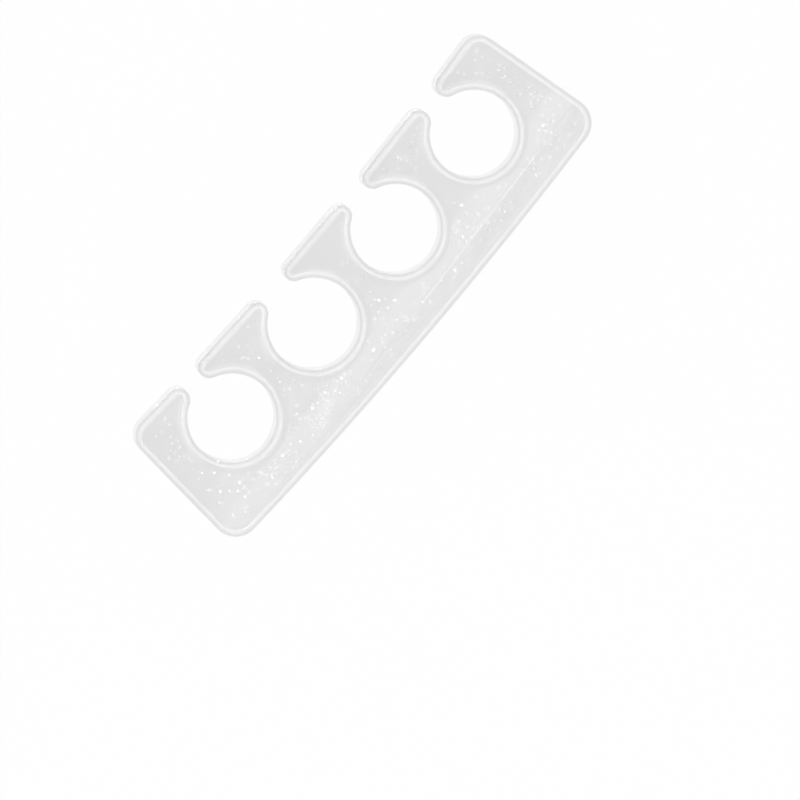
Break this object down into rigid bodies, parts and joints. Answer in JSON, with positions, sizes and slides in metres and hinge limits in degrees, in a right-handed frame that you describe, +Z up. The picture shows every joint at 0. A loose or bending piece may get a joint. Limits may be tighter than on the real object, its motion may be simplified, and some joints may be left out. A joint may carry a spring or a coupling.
{
  "type": "toe separator",
  "caption": "Flat one-piece toe separator in clear glitter gel, with round toe holes that open at the front edge between blunt teeth.",
  "frame": {"origin": "middle of the underside's box, on the face that the separator rests on", "axes": "+X along the length, +Y towards the mouths of the toe holes, +Z up through the thickness"},
  "size_m": [0.095, 0.0276, 0.01],
  "materials": {
    "glitter_gel": "smooth clear moulded gel with glitter mixed in"
  },
  "bodies": {
    "root": {"gel_toe_separator": "glitter_gel"}
  },
  "joints": []
}
